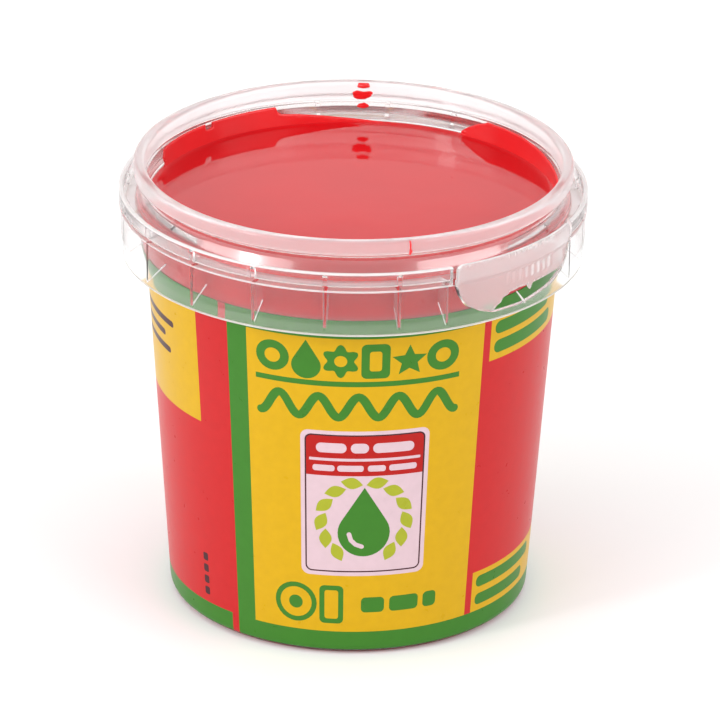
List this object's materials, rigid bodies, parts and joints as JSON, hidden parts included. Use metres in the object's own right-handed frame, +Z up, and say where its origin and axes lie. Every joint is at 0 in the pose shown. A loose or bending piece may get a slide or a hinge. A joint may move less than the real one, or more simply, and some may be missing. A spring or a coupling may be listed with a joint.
{
  "type": "paint jar",
  "caption": "Open tapered pot of clear plastic with a snap rim, a tamper-evident collar with a tear-off flap, a wrap-round label and a filling of red finger paint.",
  "frame": {"origin": "centre of the base, on the surface that the pot stands on", "axes": "+Z up along the pot's axis; -Y towards the label's main panel; +X to the right of that panel"},
  "size_m": [0.0694, 0.0694, 0.0686],
  "materials": {
    "clear_polypropylene": "gloss, slightly hazy, clear",
    "label_print": "satin printed film",
    "red_paint": "wet gloss"
  },
  "bodies": {
    "pot": {"pot_wall": "clear_polypropylene", "pot_floor": "clear_polypropylene", "rim_neck": "clear_polypropylene", "collar_shelf": "clear_polypropylene", "tamper_collar": "clear_polypropylene", "collar_ribs": "clear_polypropylene", "lid_guide_fins": "clear_polypropylene", "torn_strand": "clear_polypropylene", "label_film": "label_print", "paint_fill": "red_paint", "paint_smear_left": "red_paint", "paint_smear_right": "red_paint"},
    "flap": {"seal_flap": "clear_polypropylene", "flap_grip_ribs": "clear_polypropylene"}
  },
  "joints": [
    {"name": "flap_hinge", "type": "hinge", "parent": "pot", "child": "flap", "pos_m": [0.01781, -0.0295, 0.0587], "axis": [0.6694, 0.4042, -0.6234], "range_deg": [0, 80], "stiffness_Nm_per_rad": 0.0005}
  ]
}
